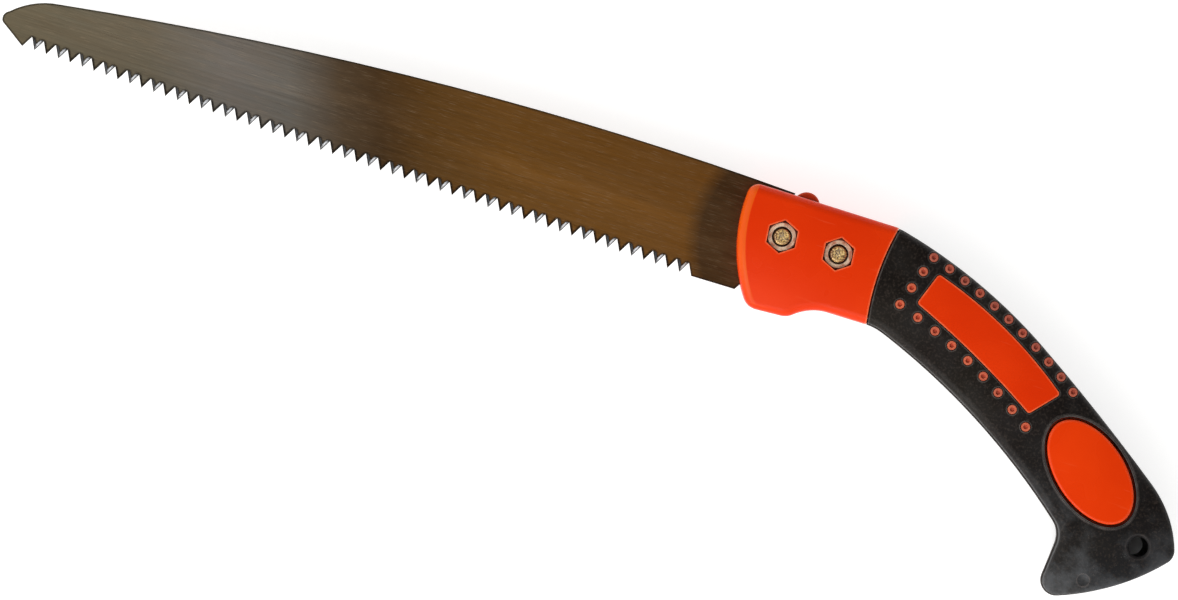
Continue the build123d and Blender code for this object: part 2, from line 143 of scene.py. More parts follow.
def make_world():
    """Studio room with a dim ceiling and bright walls, so that gloss shows on slopes and edges."""
    world = bpy.data.worlds.new("studio")
    world.use_nodes = True
    tree = world.node_tree
    direction = tree.nodes.new("ShaderNodeTexCoord").outputs["Generated"]
    height = tree.nodes.new("ShaderNodeVectorMath")
    height.operation = "DOT_PRODUCT"
    height.inputs[1].default_value = Vector(CEILING_AXIS).normalized()
    glow = tree.nodes.new("ShaderNodeMapRange")
    glow.interpolation_type = "SMOOTHSTEP"
    for name, value in zip(("From Min", "From Max", "To Min", "To Max"), CEILING_FADE + WALL_TO_CEILING):
        glow.inputs[name].default_value = value
    tree.links.new(direction, height.inputs[0])
    tree.links.new(height.outputs["Value"], glow.inputs["Value"])
    tree.links.new(glow.outputs[0], tree.nodes["Background"].inputs["Strength"])
    tree.nodes["Background"].inputs["Color"].default_value = ROOM_COLOUR
    bpy.context.scene.world = world


def make_light():
    """Large key light from the belly's side, weak fill from behind the spine and plain display colours."""
    make_softbox("key", **KEY_LIGHT)
    make_softbox("fill", **FILL_LIGHT)
    bpy.context.scene.view_settings.view_transform = "Standard"


def floor_profile():
    """Radius and height of each ring of the floor: flat, then bending up into the far rim."""
    profile = [(radius, 0.0) for radius in FLOOR_FLAT_RINGS]
    for step in range(1, FLOOR_BEND_STEPS + 1):
        turn = step * math.pi / (2 * FLOOR_BEND_STEPS)
        radius = FLOOR_FLAT_RINGS[-1] + FLOOR_BEND * math.sin(turn)
        profile.append((radius, FLOOR_BEND * (1 - math.cos(turn))))
    return profile


def make_floor(material):
    """Plain pale floor that the saw lies on, with a raised far rim so that no horizon shows."""
    profile = floor_profile()
    verts = [(0.0, 0.0, 0.0)]
    for radius, height in profile[1:]:
        for spoke in range(FLOOR_SPOKES):
            turn = 2 * math.pi * spoke / FLOOR_SPOKES
            verts.append((radius * math.cos(turn), radius * math.sin(turn), height))
    faces = [(0, 1 + spoke, 1 + (spoke + 1) % FLOOR_SPOKES) for spoke in range(FLOOR_SPOKES)]
    for ring in range(len(profile) - 2):
        low, high = 1 + ring * FLOOR_SPOKES, 1 + (ring + 1) * FLOOR_SPOKES
        for spoke in range(FLOOR_SPOKES):
            after = (spoke + 1) % FLOOR_SPOKES
            faces.append((low + spoke, high + spoke, high + after, low + after))
    mesh = bpy.data.meshes.new("floor")
    mesh.from_pydata(verts, [], faces)
    mesh.shade_smooth()
    mesh.materials.append(material)
    floor = bpy.data.objects.new("floor", mesh)
    bpy.context.scene.collection.objects.link(floor)
    floor.location = (0.0, 0.0, -FLOOR_GAP)


# ---------------------------------------------------------------- material nodes


# Sockets of the Mix node that carry its two colours and its result, which share their names with others.
MIX_FIRST = 6
MIX_SECOND = 7
MIX_RESULT = 2
BEVEL_SAMPLES = 6


class Shader:
    """One material's node tree, with a short call for each kind of node used here."""

    def __init__(self, name, metallic=0.0, roughness=0.5, specular=0.5):
        self.material = bpy.data.materials.new(name)
        self.material.use_nodes = True
        self.tree = self.material.node_tree
        self.bsdf = self.tree.nodes["Principled BSDF"]
        self.bsdf.inputs["Roughness"].default_value = roughness
        self.bsdf.inputs["Metallic"].default_value = metallic
        self.bsdf.inputs["Specular IOR Level"].default_value = specular
        self.place = self.node("ShaderNodeTexCoord").outputs["Object"]

    def node(self, kind, **settings):
        """A new node with some of its settings."""
        made = self.tree.nodes.new(kind)
        for name, value in settings.items():
            setattr(made, name, value)
        return made

    def feed(self, socket, value):
        """Links a node's output to a socket, or sets a plain value on it."""
        if isinstance(value, bpy.types.NodeSocket):
            self.tree.links.new(value, socket)
        elif isinstance(value, tuple) and len(value) == 3 and socket.type == "RGBA":
            socket.default_value = (*value, 1.0)
        else:
            socket.default_value = value

    def calc(self, kind, first, second=0.0, third=0.0):
        """Arithmetic on one value at each point of the surface."""
        made = self.node("ShaderNodeMath", operation=kind)
        for socket, value in zip(made.inputs, (first, second, third)):
            self.feed(socket, value)
        return made.outputs[0]

    def axis(self, name):
        """One coordinate of the point, in the row frame's metres."""
        made = self.node("ShaderNodeSeparateXYZ")
        self.feed(made.inputs[0], self.place)
        return made.outputs[name]

    def away(self, centre):
        """Distance in plan from an upright line through a point, in metres."""
        across = self.calc("SUBTRACT", self.axis("X"), centre[0])
        beside = self.calc("SUBTRACT", self.axis("Y"), centre[1])
        squares = self.calc("MULTIPLY_ADD", across, across, self.calc("MULTIPLY", beside, beside))
        return self.calc("SQRT", squares)

    def stretched(self, scale):
        """The point's place, multiplied along each axis."""
        made = self.node("ShaderNodeMapping")
        self.feed(made.inputs["Vector"], self.place)
        made.inputs["Scale"].default_value = scale
        return made.outputs[0]

    def noise(self, scale, detail=3.0, roughness=0.5, place=None):
        """Cloudy noise between 0 and 1."""
        made = self.node("ShaderNodeTexNoise")
        self.feed(made.inputs["Vector"], place or self.place)
        made.inputs["Scale"].default_value = scale
        made.inputs["Detail"].default_value = detail
        made.inputs["Roughness"].default_value = roughness
        return made.outputs[0]

    def cells(self, scale):
        """Distance to the nearest of many scattered points."""
        made = self.node("ShaderNodeTexVoronoi")
        self.feed(made.inputs["Vector"], self.place)
        made.inputs["Scale"].default_value = scale
        return made.outputs["Distance"]

    def span(self, value, low, high, new_low=0.0, new_high=1.0):
        """Moves a value from one range to another and keeps it there."""
        made = self.node("ShaderNodeMapRange", clamp=True)
        for name, number in (("Value", value), ("From Min", low), ("From Max", high)):
            self.feed(made.inputs[name], number)
        self.feed(made.inputs["To Min"], new_low)
        self.feed(made.inputs["To Max"], new_high)
        return made.outputs[0]

    def ramp(self, value, stops):
        """Colour that changes with a value, by (position, colour) stops."""
        made = self.node("ShaderNodeValToRGB")
        elements = made.color_ramp.elements
        while len(elements) < len(stops):
            elements.new(0.5)
        for element, (position, colour) in zip(elements, stops):
            element.position = position
            element.color = (*colour, 1.0)
        self.feed(made.inputs[0], value)
        return made.outputs[0]

    def mix(self, share, first, second):
        """Mix of two colours by the second one's share, between 0 and 1."""
        made = self.node("ShaderNodeMix", data_type="RGBA")
        self.feed(made.inputs["Factor"], share)
        self.feed(made.inputs[MIX_FIRST], first)
        self.feed(made.inputs[MIX_SECOND], second)
        return made.outputs[MIX_RESULT]

    def rounded(self, radius):
        """Surface direction as if sharp edges were rounded by a radius in metres."""
        made = self.node("ShaderNodeBevel", samples=BEVEL_SAMPLES)
        made.inputs["Radius"].default_value = radius
        return made.outputs[0]

    def edges(self, radius, gain, least=0.015):
        """1 on edges, outer and inner, and 0 away from them and on gentle curves."""
        face = self.node("ShaderNodeNewGeometry").outputs["True Normal"]
        made = self.node("ShaderNodeVectorMath", operation="DOT_PRODUCT")
        self.feed(made.inputs[0], self.rounded(radius))
        self.feed(made.inputs[1], face)
        return self.span(made.outputs["Value"], 1.0 - least, 1.0 - least - gain)

    def hollows(self, distance, samples=6):
        """1 in the open and towards 0 in grooves and corners."""
        made = self.node("ShaderNodeAmbientOcclusion", samples=samples)
        made.inputs["Distance"].default_value = distance
        return made.outputs["AO"]

    def mark(self, name):
        """A mask that was written on the mesh's points."""
        return self.node("ShaderNodeAttribute", attribute_name=name).outputs["Fac"]

    def bump(self, height, depth, strength=1.0, normal=None):
        """Surface direction after a small relief, with its depth in metres."""
        made = self.node("ShaderNodeBump")
        made.inputs["Strength"].default_value = strength
        made.inputs["Distance"].default_value = depth
        self.feed(made.inputs["Height"], height)
        if normal is not None:
            self.feed(made.inputs["Normal"], normal)
        return made.outputs[0]

    def finish(self, colour, roughness=None, normal=None):
        """Links the results to the shader and returns the material."""
        self.feed(self.bsdf.inputs["Base Color"], colour)
        if roughness is not None:
            self.feed(self.bsdf.inputs["Roughness"], roughness)
        if normal is not None:
            self.feed(self.bsdf.inputs["Normal"], normal)
        return self.material


def floor_material():
    """Matt pale board with a glow of its own, like a light table, so that shadows stay pale."""
    s = Shader("floor_pale", roughness=0.9, specular=0.1)
    s.bsdf.inputs["Emission Color"].default_value = (1.0, 1.0, 1.0, 1.0)
    open_share = s.hollows(FLOOR_SHADE, FLOOR_SHADE_SAMPLES)
    s.feed(s.bsdf.inputs["Emission Strength"], s.span(open_share, *FLOOR_SHADE_FADE, 0.0, FLOOR_GLOW))
    colour = s.ramp(s.noise(3.0), [(0.3, (0.54, 0.54, 0.54)), (0.7, (0.56, 0.56, 0.56))])
    return s.finish(colour)


# ---------------------------------------------------------------- the saw's materials

# Places along the blade, and the steel's colour at each, with the reflections along it painted in.
BLADE_REFLECTION_COLOURS = (
    (-285.0, (0.235, 0.200, 0.128)),
    (-235.0, (0.230, 0.200, 0.142)),
    (-205.0, (0.262, 0.242, 0.218)),
    (-182.0, (0.232, 0.214, 0.186)),
    (-162.0, (0.130, 0.085, 0.048)),
    (-148.0, (0.100, 0.050, 0.017)),
    (-130.0, (0.176, 0.077, 0.013)),
    (-100.0, (0.255, 0.107, 0.016)),
    (-10.0, (0.252, 0.098, 0.014)),
)
BLADE_REFLECTION_LEAN = 0.35
BLADE_REFLECTION_WAVE = 6.0
BLADE_REFLECTION_SHIFT = 15.0
# The painted shade of the head on the blade starts on a parabola through this place.
HEAD_SHADE_PLACE = (-31.2, -1.0)
HEAD_SHADE_BOW = 0.014
HEAD_SHADE_FADE = 3.0
HEAD_SHADE_SHARE = 0.70
# Three points on the head's curved front edge.
HEAD_FRONT = ((-15.8, 15.5), (-15.2, -4.0), (-4.2, -27.4))
HEAD_BAND = 3.0
HEAD_BAND_BLUR = 0.12
# The band fades in between these places along X, and between these heights above and below the mid-plane.
HEAD_BAND_REAR = (6.0, 0.0)
HEAD_BAND_RISE = (7.0 * MM, 10.5 * MM)
LANYARD_HOLE = (152.6, -67.3)
# Distances from the lanyard hole's axis, between which the painted shade in the hole and the rubbing with
# its painted highlight fade in.
LANYARD_SHADE_FADE = (3.9 * MM, 3.5 * MM)
LANYARD_RUB_AND_HIGHLIGHT_FADE = (5.0 * MM, 6.5 * MM)
# Distances from a bolt's axis, between which the painted shade in a nut's mouth fades in from either side.
MOUTH_SHADE_INNER = (2.62 * MM, 2.80 * MM)
MOUTH_SHADE_OUTER = (3.80 * MM, 3.50 * MM)
# The dust, wear and painted bluish sheen of the butt grow from the first place to the second.
BUTT_DUST_AND_SHEEN_START = (95.0, -50.0)
BUTT_DUST_AND_SHEEN_FULL = (150.0, -88.0)
# How upright a face's direction is. A ground facet's is less so than the sides' and more so than the edges'.
FACET_FROM_SIDE = (0.985, 0.96)
FACET_FROM_EDGE = (0.2, 0.3)
OUTLINE_COLOUR = (0.012, 0.010, 0.008)
# Specular level of the moulded shells, inlays, catch and skins.
MOULDED_SHINE = 0.11


def blade_reflection_and_shade(s):
    """Colour along the blade, holding painted reflections: grey near the nose, bronze towards the handle,
    and painted shade beside the head.
    """
    front = at(BLADE_REFLECTION_COLOURS[0][0], 0).x
    length = at(BLADE_REFLECTION_COLOURS[-1][0], 0).x - front
    lean = s.calc("MULTIPLY_ADD", s.axis("Y"), BLADE_REFLECTION_LEAN, s.axis("X"))
    wave = s.calc("MULTIPLY_ADD", s.noise(30.0), BLADE_REFLECTION_WAVE * MM, lean)
    start = front + BLADE_REFLECTION_SHIFT * MM
    along = s.span(wave, start, start + length)
    tone = s.ramp(along, [((at(x, 0).x - front) / length, colour) for x, colour in BLADE_REFLECTION_COLOURS])
    edge = at(*HEAD_SHADE_PLACE)
    beside = s.calc("SUBTRACT", s.axis("Y"), edge.y)
    bow = s.calc("MULTIPLY", s.calc("MULTIPLY", beside, beside), HEAD_SHADE_BOW / MM)
    fade = HEAD_SHADE_FADE * MM
    ahead = s.calc("SUBTRACT", s.axis("X"), bow)
    shade = s.span(ahead, edge.x - fade, edge.x + fade, 0.0, HEAD_SHADE_SHARE)
    # Painted shade of the head on the blade.
    return s.mix(shade, tone, (0.018, 0.012, 0.009))


def tooth_facets(s, grain):
    """How much a point is on a ground tooth facet, and the facet's colour: a painted highlight on the flanks
    that face the handle and painted shade on the others.
    """
    up = s.node("ShaderNodeSeparateXYZ")
    s.feed(up.inputs[0], s.node("ShaderNodeNewGeometry").outputs["True Normal"])
    slope = s.calc("ABSOLUTE", up.outputs["Z"])
    facet = s.calc("MULTIPLY", s.span(slope, *FACET_FROM_SIDE), s.span(slope, *FACET_FROM_EDGE))
    facet_shade = s.ramp(grain, [(0.3, (0.020, 0.022, 0.026)), (0.7, (0.052, 0.058, 0.066))])
    facet_highlight = s.ramp(grain, [(0.3, (0.78, 0.80, 0.84)), (0.7, (0.93, 0.95, 0.98))])
    return facet, s.mix(s.span(up.outputs["X"], -0.05, 0.05), facet_shade, facet_highlight)


def blade_material():
    """Steel ground lengthwise, with long grinding marks, small bright streaks and dark edges."""
    s = Shader("ground_steel", metallic=0.8)
    s.bsdf.inputs["Anisotropic"].default_value = 0.5
    # Painted reflections along the blade, and painted shade beside the head.
    tone = blade_reflection_and_shade(s)
    grain = s.noise(1.0, 6.0, 0.62, s.stretched((9.0, 1500.0, 1500.0)))
    fine = s.noise(1.0, 3.0, 0.6, s.stretched((45.0, 5200.0, 5200.0)))
    streak = s.span(s.noise(1.0, 2.0, 0.5, s.stretched((160.0, 4600.0, 900.0))), 0.60, 0.74)
    mottle = s.noise(1.0, 4.0, 0.6, s.stretched((60.0, 380.0, 380.0)))
    tone = s.mix(s.span(grain, 0.3, 0.7, 0.0, 0.26), tone, (0.03, 0.02, 0.010))
    tone = s.mix(s.span(mottle, 0.35, 0.7, 0.0, 0.14), tone, (0.34, 0.20, 0.09))
    tone = s.mix(s.calc("MULTIPLY", streak, 0.26), tone, (0.66, 0.50, 0.33))
    # Ground facets: a painted highlight on one flank, painted shade on the other.
    facet, facet_light_and_shade = tooth_facets(s, grain)
    tone = s.mix(facet, tone, facet_light_and_shade)
    outline = s.edges(1.3 * MM, gain=0.014, least=0.006)
    tone = s.mix(s.calc("MULTIPLY", outline, 0.9), tone, OUTLINE_COLOUR)
    rough = s.span(fine, 0.3, 0.7, 0.27, 0.44)
    relief = s.bump(grain, 0.03 * MM, 0.5, s.bump(fine, 0.02 * MM, 0.4))
    return s.finish(tone, rough, relief)


def moulded_plastic(name, deep, light, edge_colour, roughness, relief_depth):
    s = Shader(name, specular=MOULDED_SHINE)
    cloud = s.noise(35.0)
    tone = s.ramp(cloud, [(0.3, deep), (0.7, light)])
    scratch = s.span(s.noise(1.0, 2.0, 0.5, s.stretched((60.0, 900.0, 200.0))), 0.68, 0.80)
    # Edges paler from rubbing and from a painted highlight.
    rub_and_highlight = s.calc("MULTIPLY", s.edges(1.1 * MM, gain=0.03), s.span(s.noise(260.0), 0.3, 0.6, 0.3, 0.75))
    tone = s.mix(rub_and_highlight, tone, edge_colour)
    tone = s.mix(s.calc("MULTIPLY", scratch, 0.12), tone, edge_colour)
    # Painted shade darkens grooves and corners.
    crevice_shade = s.span(s.hollows(1.2 * MM), 0.45, 0.95, 0.8, 0.0)
    tone = s.mix(crevice_shade, tone, (0.04, 0.004, 0.0015))
    uneven = s.span(cloud, 0.3, 0.7, roughness - 0.05, roughness + 0.06)
    rough = s.calc("MULTIPLY_ADD", scratch, 0.15, uneven)
    grain = s.noise(1900.0, 2.0)
    normal = s.bump(grain, relief_depth, 0.35, s.bump(scratch, 0.02 * MM, 0.4, s.rounded(0.3 * MM)))
    return s, tone, rough, normal


def circle_through(first, second, third):
    """Centre and radius of the circle through three points."""
    (ax, ay), (bx, by), (cx, cy) = first, second, third
    twice = 2 * (ax * (by - cy) + bx * (cy - ay) + cx * (ay - by))
    a, b, c = (x * x + y * y for x, y in (first, second, third))
    x = (a * (by - cy) + b * (cy - ay) + c * (ay - by)) / twice
    y = (a * (cx - bx) + b * (ax - cx) + c * (bx - ax)) / twice
    return (x, y), math.hypot(ax - x, ay - y)


def front_band_highlight(s):
    """1 in the narrow bevelled band along the head's curved front edge, which takes a painted highlight."""
    centre, radius = circle_through(*HEAD_FRONT)
    middle = at(*centre)
    inner = (radius - HEAD_BAND) * MM
    blur = HEAD_BAND_BLUR * MM
    none, full = (at(x, 0).x for x in HEAD_BAND_REAR)
    near_front = s.span(s.axis("X"), none, full)
    height = s.calc("ABSOLUTE", s.calc("SUBTRACT", s.axis("Z"), middle.z))
    outer = s.calc("MULTIPLY", near_front, s.span(height, *HEAD_BAND_RISE))
    return s.calc("MULTIPLY", s.span(s.away(middle), inner - blur, inner + blur), outer)


def core_material():
    """Orange shell with a painted highlight on the head's front bevel; its studs are duller and dustier, and
    a purer red in their dimples.
    """
    s, tone, rough, normal = moulded_plastic(
        "orange_shell",
        deep=(0.590, 0.0250, 0.0005),
        light=(0.650, 0.0330, 0.0007),
        edge_colour=(0.86, 0.20, 0.075),
        roughness=0.27,
        relief_depth=0.02 * MM,
    )
    # Painted highlight: lighter orange on the head's front bevel.
    tone = s.mix(s.calc("MULTIPLY", front_band_highlight(s), 0.7), tone, (0.66, 0.095, 0.004))
    stud = s.mark("stud")
    dust = s.mark("dust")
    dull = s.mix(dust, (0.56, 0.125, 0.060), (0.30, 0.100, 0.075))
    dull = s.mix(s.span(s.noise(1400.0), 0.35, 0.65, 0.0, 0.5), dull, (0.34, 0.04, 0.018))
    dull = s.mix(s.mark("dimple"), dull, s.mix(dust, (0.60, 0.095, 0.045), (0.32, 0.085, 0.060)))
    tone = s.mix(stud, tone, dull)
    rough = s.calc("MULTIPLY_ADD", stud, 0.2, rough)
    return s.finish(tone, rough, normal)


def badge_material():
    """Orange inlay, a little brighter and glossier than the shell."""
    s, tone, rough, normal = moulded_plastic(
        "orange_inlay",
        deep=(0.620, 0.0290, 0.0005),
        light=(0.690, 0.0390, 0.0007),
        edge_colour=(0.88, 0.24, 0.09),
        roughness=0.25,
        relief_depth=0.01 * MM,
    )
    return s.finish(tone, rough, normal)


def catch_material():
    """Orange of the scabbard catch, a little darker and more worn."""
    s, tone, rough, normal = moulded_plastic(
        "orange_catch",
        deep=(0.46, 0.036, 0.006),
        light=(0.54, 0.048, 0.008),
        edge_colour=(0.70, 0.16, 0.07),
        roughness=0.4,
        relief_depth=0.02 * MM,
    )
    return s.finish(tone, rough, normal)


def dusty(s, tone, patch, low):
    """Lays specks of dust and a pale haze of dust and painted sheen on the skin, most of them low on the
    butt.
    """
    speck = s.span(s.cells(1500.0), 0.18, 0.06)
    dust = s.calc("MULTIPLY", s.calc("MULTIPLY", speck, patch), low)
    tone = s.mix(s.calc("MULTIPLY", dust, 0.8), tone, (0.26, 0.255, 0.25))
    # Pale haze, partly dust and partly painted bluish sheen.
    haze_and_sheen = s.calc("MULTIPLY", s.span(s.noise(60.0, 5.0, 0.65), 0.46, 0.64), low)
    return s.mix(s.calc("MULTIPLY", haze_and_sheen, 0.42), tone, (0.115, 0.122, 0.132))


def rub_highlight_and_shade(s, tone):
    """Paler skin on its edges from rubbing and painted highlights, less so round the lanyard hole, and
    painted shade in the hole and the grooves.
    """
    hole = s.away(at(*LANYARD_HOLE))
    # Edges paler from rubbing and from a painted highlight.
    rub_and_highlight = s.calc("MULTIPLY", s.edges(1.0 * MM, gain=0.04), s.span(s.noise(300.0), 0.25, 0.65, 0.25, 0.8))
    rub_and_highlight = s.calc("MULTIPLY", rub_and_highlight, s.span(hole, *LANYARD_RUB_AND_HIGHLIGHT_FADE, 0.25, 0.7))
    tone = s.mix(rub_and_highlight, tone, (0.19, 0.165, 0.155))
    # Painted shade inside the lanyard hole.
    tone = s.mix(s.span(hole, *LANYARD_SHADE_FADE, 0.0, 0.9), tone, (0.0012, 0.0010, 0.0010))
    # Painted shade darkens grooves and corners.
    crevice_shade = s.span(s.hollows(1.0 * MM), 0.4, 0.95, 0.85, 0.0)
    return s.mix(crevice_shade, tone, (0.0015, 0.0010, 0.0010))


def skin_material():
    """Soft black skin: fine mould grain, dusty scuffs and a painted bluish sheen towards the butt, and edges
    paler from rubbing and painted highlights.
    """
    s = Shader("soft_black", specular=MOULDED_SHINE)
    start, full = at(*BUTT_DUST_AND_SHEEN_START), at(*BUTT_DUST_AND_SHEEN_FULL)
    rear = s.span(s.axis("X"), start.x, full.x)
    low = s.span(s.axis("Y"), start.y, full.y, 0.10, 1.0)
    cloud = s.noise(42.0, 4.0, 0.55)
    warm = s.ramp(cloud, [(0.3, (0.0026, 0.0015, 0.0011)), (0.7, (0.0070, 0.0046, 0.0037))])
    # Painted bluish sheen low on the butt.
    cool_sheen = s.ramp(cloud, [(0.3, (0.0050, 0.0053, 0.0058)), (0.7, (0.0165, 0.0178, 0.0205))])
    tone = s.mix(s.calc("MULTIPLY", rear, low), warm, cool_sheen)
    worn = s.span(s.noise(24.0), 0.46, 0.66, 0.0, 0.45)
    tone = s.mix(worn, tone, (0.015, 0.012, 0.008))
    pores = s.span(s.noise(1150.0, 3.0, 0.6), 0.50, 0.68, 0.0, 0.46)
    tone = s.mix(pores, tone, (0.042, 0.031, 0.025))
    patch = s.span(s.noise(90.0, 4.0, 0.6), 0.50, 0.68)
    tone = rub_highlight_and_shade(s, dusty(s, tone, patch, low))
    rough = s.span(cloud, 0.3, 0.7, 0.42, 0.56)
    scuffs = s.bump(patch, 0.03 * MM, 0.3, s.rounded(0.3 * MM))
    return s.finish(tone, rough, s.bump(s.cells(1900.0), 0.06 * MM, 0.5, scuffs))


def thread_mouth_shade(s):
    """Painted shade, most in the narrow ring round a bolt's shank, where a nut's bore begins, and 0
    elsewhere.
    """
    ring = 0.0
    for node in ("front_bolt", "rear_bolt"):
        low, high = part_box(node)
        away = s.away((low + high) / 2)
        inside = s.span(away, *MOUTH_SHADE_INNER)
        mouth = s.calc("MULTIPLY", inside, s.span(away, *MOUTH_SHADE_OUTER))
        ring = s.calc("MAXIMUM", mouth, ring)
    return s.calc("MULTIPLY", ring, 0.95)


def plated_steel(name, dark, light, metallic, roughness, lumps, lump_depth, edge_rub_and_highlight):
    """Plated fastener: cast or drawn relief, hollows darkened by painted shade and bright edges from rubbing
    and painted highlights.
    """
    s = Shader(name, metallic=metallic)
    relief = s.noise(lumps, 4.0, 0.6)
    tone = s.ramp(relief, [(0.41, dark), (0.57, light)])
    patches = s.span(s.noise(260.0, 2.0), 0.46, 0.66, 0.0, 0.35)
    tone = s.mix(patches, tone, (0.34, 0.12, 0.06))
    # Edges brighter from rubbing and from a painted highlight.
    tone = s.mix(s.calc("MULTIPLY", s.edges(0.5 * MM, gain=0.06), edge_rub_and_highlight), tone, (1.0, 0.92, 0.74))
    # Painted shade in a nut's mouth round the bolt.
    tone = s.mix(thread_mouth_shade(s), tone, (0.016, 0.004, 0.001))
    # Painted shade darkens hollows.
    crevice_shade = s.span(s.hollows(1.4 * MM), 0.30, 0.80, 0.95, 0.0)
    tone = s.mix(crevice_shade, tone, (0.050, 0.006, 0.003))
    rough = s.span(s.noise(700.0), 0.3, 0.7, roughness - 0.08, roughness + 0.1)
    normal = s.bump(relief, lump_depth, 0.8, s.rounded(0.2 * MM))
    return s.finish(tone, rough, normal)


def spring_material():
    """Bright spring wire with a fine uneven grain."""
    s = Shader("spring_wire", metallic=1.0)
    marks = s.noise(4000.0, 2.0)
    tone = s.ramp(marks, [(0.3, (0.42, 0.42, 0.43)), (0.7, (0.62, 0.62, 0.63))])
    return s.finish(tone, s.span(marks, 0.3, 0.7, 0.22, 0.38), s.bump(marks, 0.01 * MM, 0.5))


# ---------------------------------------------------------------- marks on the CAD meshes

GRIP_CENTRE = (-44.0, -266.0)
GRIP_RADIUS = 277.0
CROWN_RADIUS = 110.0
HALF_THICKNESS = 13.0
# A corner of the mesh is on the crown if its normal leans little and is close to the true curve's.
CROWN_LEAST = 0.9
CROWN_MATCH = 0.9975
CROWNED = ("core_left", "core_right", "grip_left", "grip_right", "badge_left", "badge_right")
STUD_RADIUS = 1.6
DIMPLE_RADIUS = 0.8
# First and last stud, centre of the arc and number of studs, for each row.
STUD_ROWS = (
    ((53.4, 8.9), (114.5, -21.9), (-12.2, -196.5), 11),
    ((46.8, -10.5), (102.0, -38.7), (-10.7, -191.3), 9),
)
STUD_COLUMN = ((51.3, 3.0), (49.0, -3.7))
MARK_MARGIN = 0.05
# A dimple's floor lies between these depths below the top of its stud.
DIMPLE_DEPTHS = (0.3, 1.2)
# Ranges of dust on the studs of the upper row and on all others.
DUSTY = (0.55, 1.0)
CLEANER = (0.0, 0.35)
# Angles in degrees above which an edge stays crisp, on CAD pieces and on pieces made here.
CAD_CRISP = 28.0
MADE_CRISP = 35.0


def row_on_arc(start, end, centre, count):
    """Evenly spaced points on the arc about a centre."""
    first = Vector(start) - Vector(centre)
    last = Vector(end) - Vector(centre)
    turn = -first.angle(last) / (count - 1)
    return [Vector(centre) + Matrix.Rotation(turn * step, 2) @ first for step in range(count)]


def stud_points():
    """Centres of the studs, in the drawing frame, each with how dusty it is from 0 to 1."""
    chance = random.Random(7)
    upper, lower = (row_on_arc(*row) for row in STUD_ROWS)
    marked = [(point, chance.uniform(*DUSTY)) for point in upper]
    return marked + [(point, chance.uniform(*CLEANER)) for point in lower + list(STUD_COLUMN)]


def write_marks(node):
    """Marks a core's studs, their dust and the floors of their dimples on its mesh's points."""
    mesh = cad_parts[node].data
    names = ("stud", "dimple", "dust")
    stud, dimple, dust = (mesh.attributes.new(name, "FLOAT", "POINT") for name in names)
    middle = at(0, 0).z
    centres = [(at(*point).xy, dustiness) for point, dustiness in stud_points()]
    found = [[] for _ in centres]
    for number, vertex in enumerate(mesh.vertices):
        flat = vertex.co.xy
        for (centre, dustiness), members in zip(centres, found):
            away = (flat - centre).length / MM
            if away < STUD_RADIUS + MARK_MARGIN:
                stud.data[number].value = 1.0
                dust.data[number].value = dustiness
                members.append((number, away, abs(vertex.co.z - middle) / MM))
                break
    least, most = DIMPLE_DEPTHS
    for members in found:
        top = max(height for _, _, height in members)
        for number, away, height in members:
            if away < DIMPLE_RADIUS + MARK_MARGIN and least < top - height < most:
                dimple.data[number].value = 1.0


def dress(node, material):
    """Gives a CAD node its material and smooth shading across its tessellated curves."""
    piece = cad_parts[node]
    piece.data.materials.clear()
    piece.data.materials.append(material)
    smooth_by_angle(piece.data, CAD_CRISP)
    if node in CROWNED:
        even_crown(piece.data)


def even_crown(mesh):
    """Shades the broad crowned sides by their true curve, where long thin faces would show."""
    hub = at(*GRIP_CENTRE)
    normals = []
    for loop, corner in zip(mesh.loops, mesh.corner_normals):
        place = mesh.vertices[loop.vertex_index].co
        normal = corner.vector
        if abs(normal.z) > CROWN_LEAST:
            out = (place.xy - hub.xy).normalized() * GRIP_RADIUS * MM
            side = math.copysign(CROWN_RADIUS - HALF_THICKNESS, normal.z) * MM
            true = (place - Vector((hub.x + out.x, hub.y + out.y, hub.z - side))).normalized()
            if true.dot(normal) > CROWN_MATCH:
                normal = true
        normals.append(normal)
    mesh.normals_split_custom_set(normals)


def smooth_by_angle(mesh, degrees):
    """Smooth shading, with edges sharper than an angle kept crisp."""
    mesh.shade_smooth()
    mesh.set_sharp_from_angle(angle=math.radians(degrees))


# ---------------------------------------------------------------- threaded bolts and the coil spring

# Heights are above the face of the bolt's head. The thread's crest and both flanks are shares of its pitch.
SEGMENTS = 48
BOLT_RADIUS = 2.95
HEAD_HEIGHT = 4.0
BOLT_TOTAL = 24.0
SOCKET_APOTHEM = 2.03
THREAD_PITCH = 1.0
THREAD_DEPTH = 0.55
THREAD_START = 4.6
THREAD_STEP = 0.1
THREAD_CREST = 0.12
THREAD_FLANKS = 0.78
TIP_CHAMFER = 0.5
TIP_DIP = 0.1
SOCKET_MOUTH = 0.2
SOCKET_WALL_END = 2.2
SOCKET_FLOOR = 2.5
# Height and radius of the head's rings, then radius and roughness of the tip's.
HEAD_RINGS = (
    (0.0, 2.5), (0.0, 4.4), (0.08, 4.7), (0.3, 4.92), (0.6, 5.0), (3.85, 5.0), (4.0, 4.85), (4.0, 3.0)
)
TIP_RINGS = ((2.40, 0.03), (2.05, 0.10), (1.60, 0.14), (1.10, 0.14), (0.55, 0.14))


def round_ring(radius, height):
    """Even ring of points about the axis; the radius is a number or a function of the turn."""
    ring = []
    for step in range(SEGMENTS):
        turn = 2 * math.pi * step / SEGMENTS
        reach = radius(turn) if callable(radius) else radius
        ring.append((reach * math.cos(turn), reach * math.sin(turn), height))
    return ring


def socket_reach(turn):
    """Distance from the axis to the wall of the hexagonal socket."""
    return SOCKET_APOTHEM / math.cos((turn + math.pi / 6) % (math.pi / 3) - math.pi / 6)


